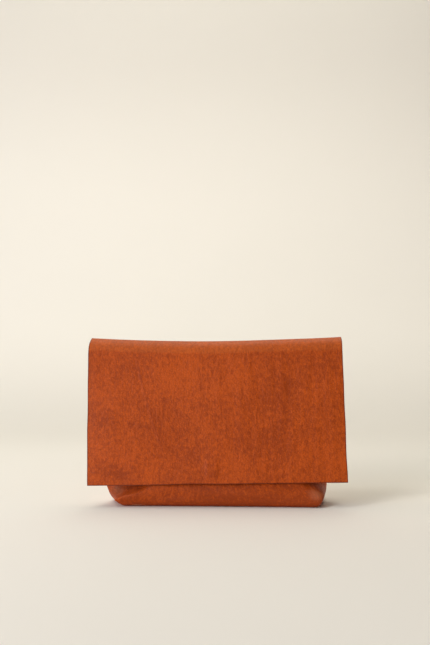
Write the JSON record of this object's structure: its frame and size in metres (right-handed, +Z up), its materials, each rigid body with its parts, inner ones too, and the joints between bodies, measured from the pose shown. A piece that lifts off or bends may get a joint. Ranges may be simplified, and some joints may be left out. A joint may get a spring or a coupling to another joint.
{
  "type": "leather flap pouch",
  "caption": "Leather pouch with a boxed flat bottom and a full-width flap that folds over the top and closes on a hidden magnetic snap.",
  "frame": {"origin": "on the standing surface, under the middle of the whole outline", "axes": "+Z up, X across the width, the flap's front faces -Y"},
  "size_m": [0.26, 0.0674, 0.168],
  "materials": {
    "tan_leather": "soft satin, natural grain",
    "facing_leather": "soft satin",
    "lining_cloth": "matte twill",
    "thread": "waxed thread",
    "snap_metal": "plated",
    "magnet": "plated",
    "board": "bonded fibre board"
  },
  "bodies": {
    "bag": {"front_panel": "tan_leather", "back_panel": "tan_leather", "base_panel": "tan_leather", "front_facing": "facing_leather", "back_facing": "facing_leather", "lining_front": "lining_cloth", "lining_back": "lining_cloth", "lining_base": "lining_cloth", "lip_stitching": "thread", "facing_stitching_front": "thread", "facing_stitching_back": "thread", "side_stitching_left": "thread", "side_stitching_right": "thread", "corner_stitching_left": "thread", "corner_stitching_right": "thread", "snap_socket": "snap_metal", "socket_washer": "snap_metal", "snap_magnet": "magnet", "base_board": "board"},
    "flap": {"flap_panel": "tan_leather", "snap_patch": "facing_leather", "snap_stud": "snap_metal", "stud_washer": "snap_metal"}
  },
  "joints": [
    {"name": "flap_hinge", "type": "hinge", "parent": "bag", "child": "flap", "pos_m": [0, 0.00372, 0.168], "axis": [-1, 0, 0], "range_deg": [0, 180]}
  ]
}
